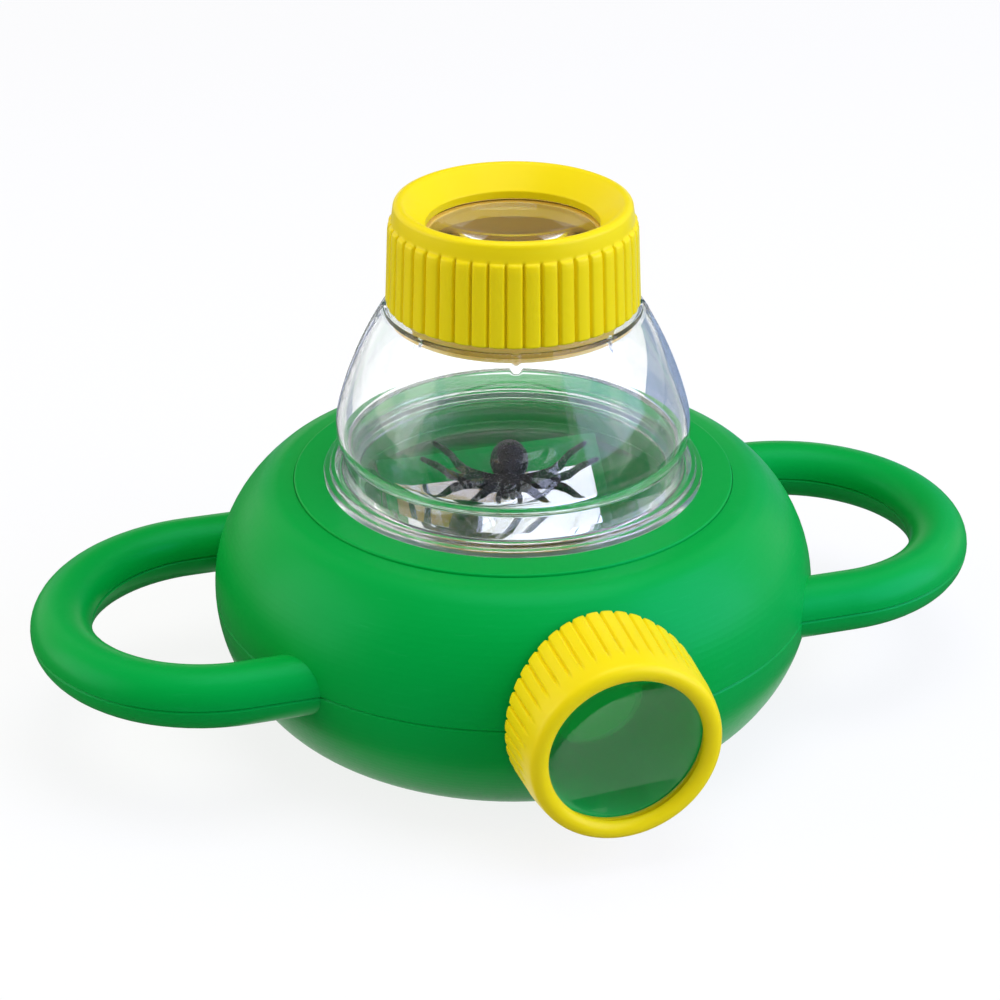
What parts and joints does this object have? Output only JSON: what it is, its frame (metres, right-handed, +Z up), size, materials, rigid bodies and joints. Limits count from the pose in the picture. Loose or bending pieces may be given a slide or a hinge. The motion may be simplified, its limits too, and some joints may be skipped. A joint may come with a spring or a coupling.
{
  "type": "bug catcher jar",
  "caption": "Clear bug jar with a magnifying cap on a round body with loop handles; a slanted mirror shows the catch from below in a magnifying side window.",
  "frame": {"origin": "centre of the flat underside of the body, on the jar's axis", "axes": "+Z up along the jar's axis, +X along the line through both loop handles, the side window faces -Y"},
  "size_m": [0.2342, 0.1592, 0.1273],
  "materials": {
    "green_plastic": "smooth green moulded plastic",
    "yellow_plastic": "smooth yellow moulded plastic",
    "clear_plastic": "clear polished plastic",
    "mirror_plate": "silvered sheet",
    "steel": "bright zinc-plated steel",
    "black_plastic": "glossy black moulded plastic"
  },
  "bodies": {
    "base": {"lower_shell": "green_plastic", "upper_shell": "green_plastic", "jar_seat": "green_plastic", "side_port": "green_plastic", "mirror_bracket": "green_plastic", "mirror": "mirror_plate", "body_screws": "steel", "handle_screws": "steel", "bracket_screws": "steel", "side_ring": "yellow_plastic", "side_lens": "clear_plastic", "side_lens_retainer": "yellow_plastic"},
    "jar": {"chamber_floor": "clear_plastic", "jar_dome": "clear_plastic"},
    "cap_carrier": {"top_lens": "clear_plastic"},
    "cap": {"cap_ring": "yellow_plastic", "top_lens_retainer": "yellow_plastic"},
    "spider": {"toy_spider": "black_plastic"}
  },
  "joints": [
    {"name": "jar_lift", "type": "slide", "parent": "base", "child": "jar", "axis": [0, 0, 1], "range_m": [0, 0.07]},
    {"name": "cap_lift", "type": "slide", "parent": "jar", "child": "cap_carrier", "axis": [0, 0, 1], "range_m": [0, 0.045]},
    {"name": "cap_turn", "type": "hinge", "parent": "cap_carrier", "child": "cap", "pos_m": [0, 0, 0.118], "axis": [0, 0, 1], "continuous": true},
    {"name": "spider_lift", "type": "slide", "parent": "jar", "child": "spider", "axis": [0, 0, 1], "range_m": [0, 0.02]}
  ]
}
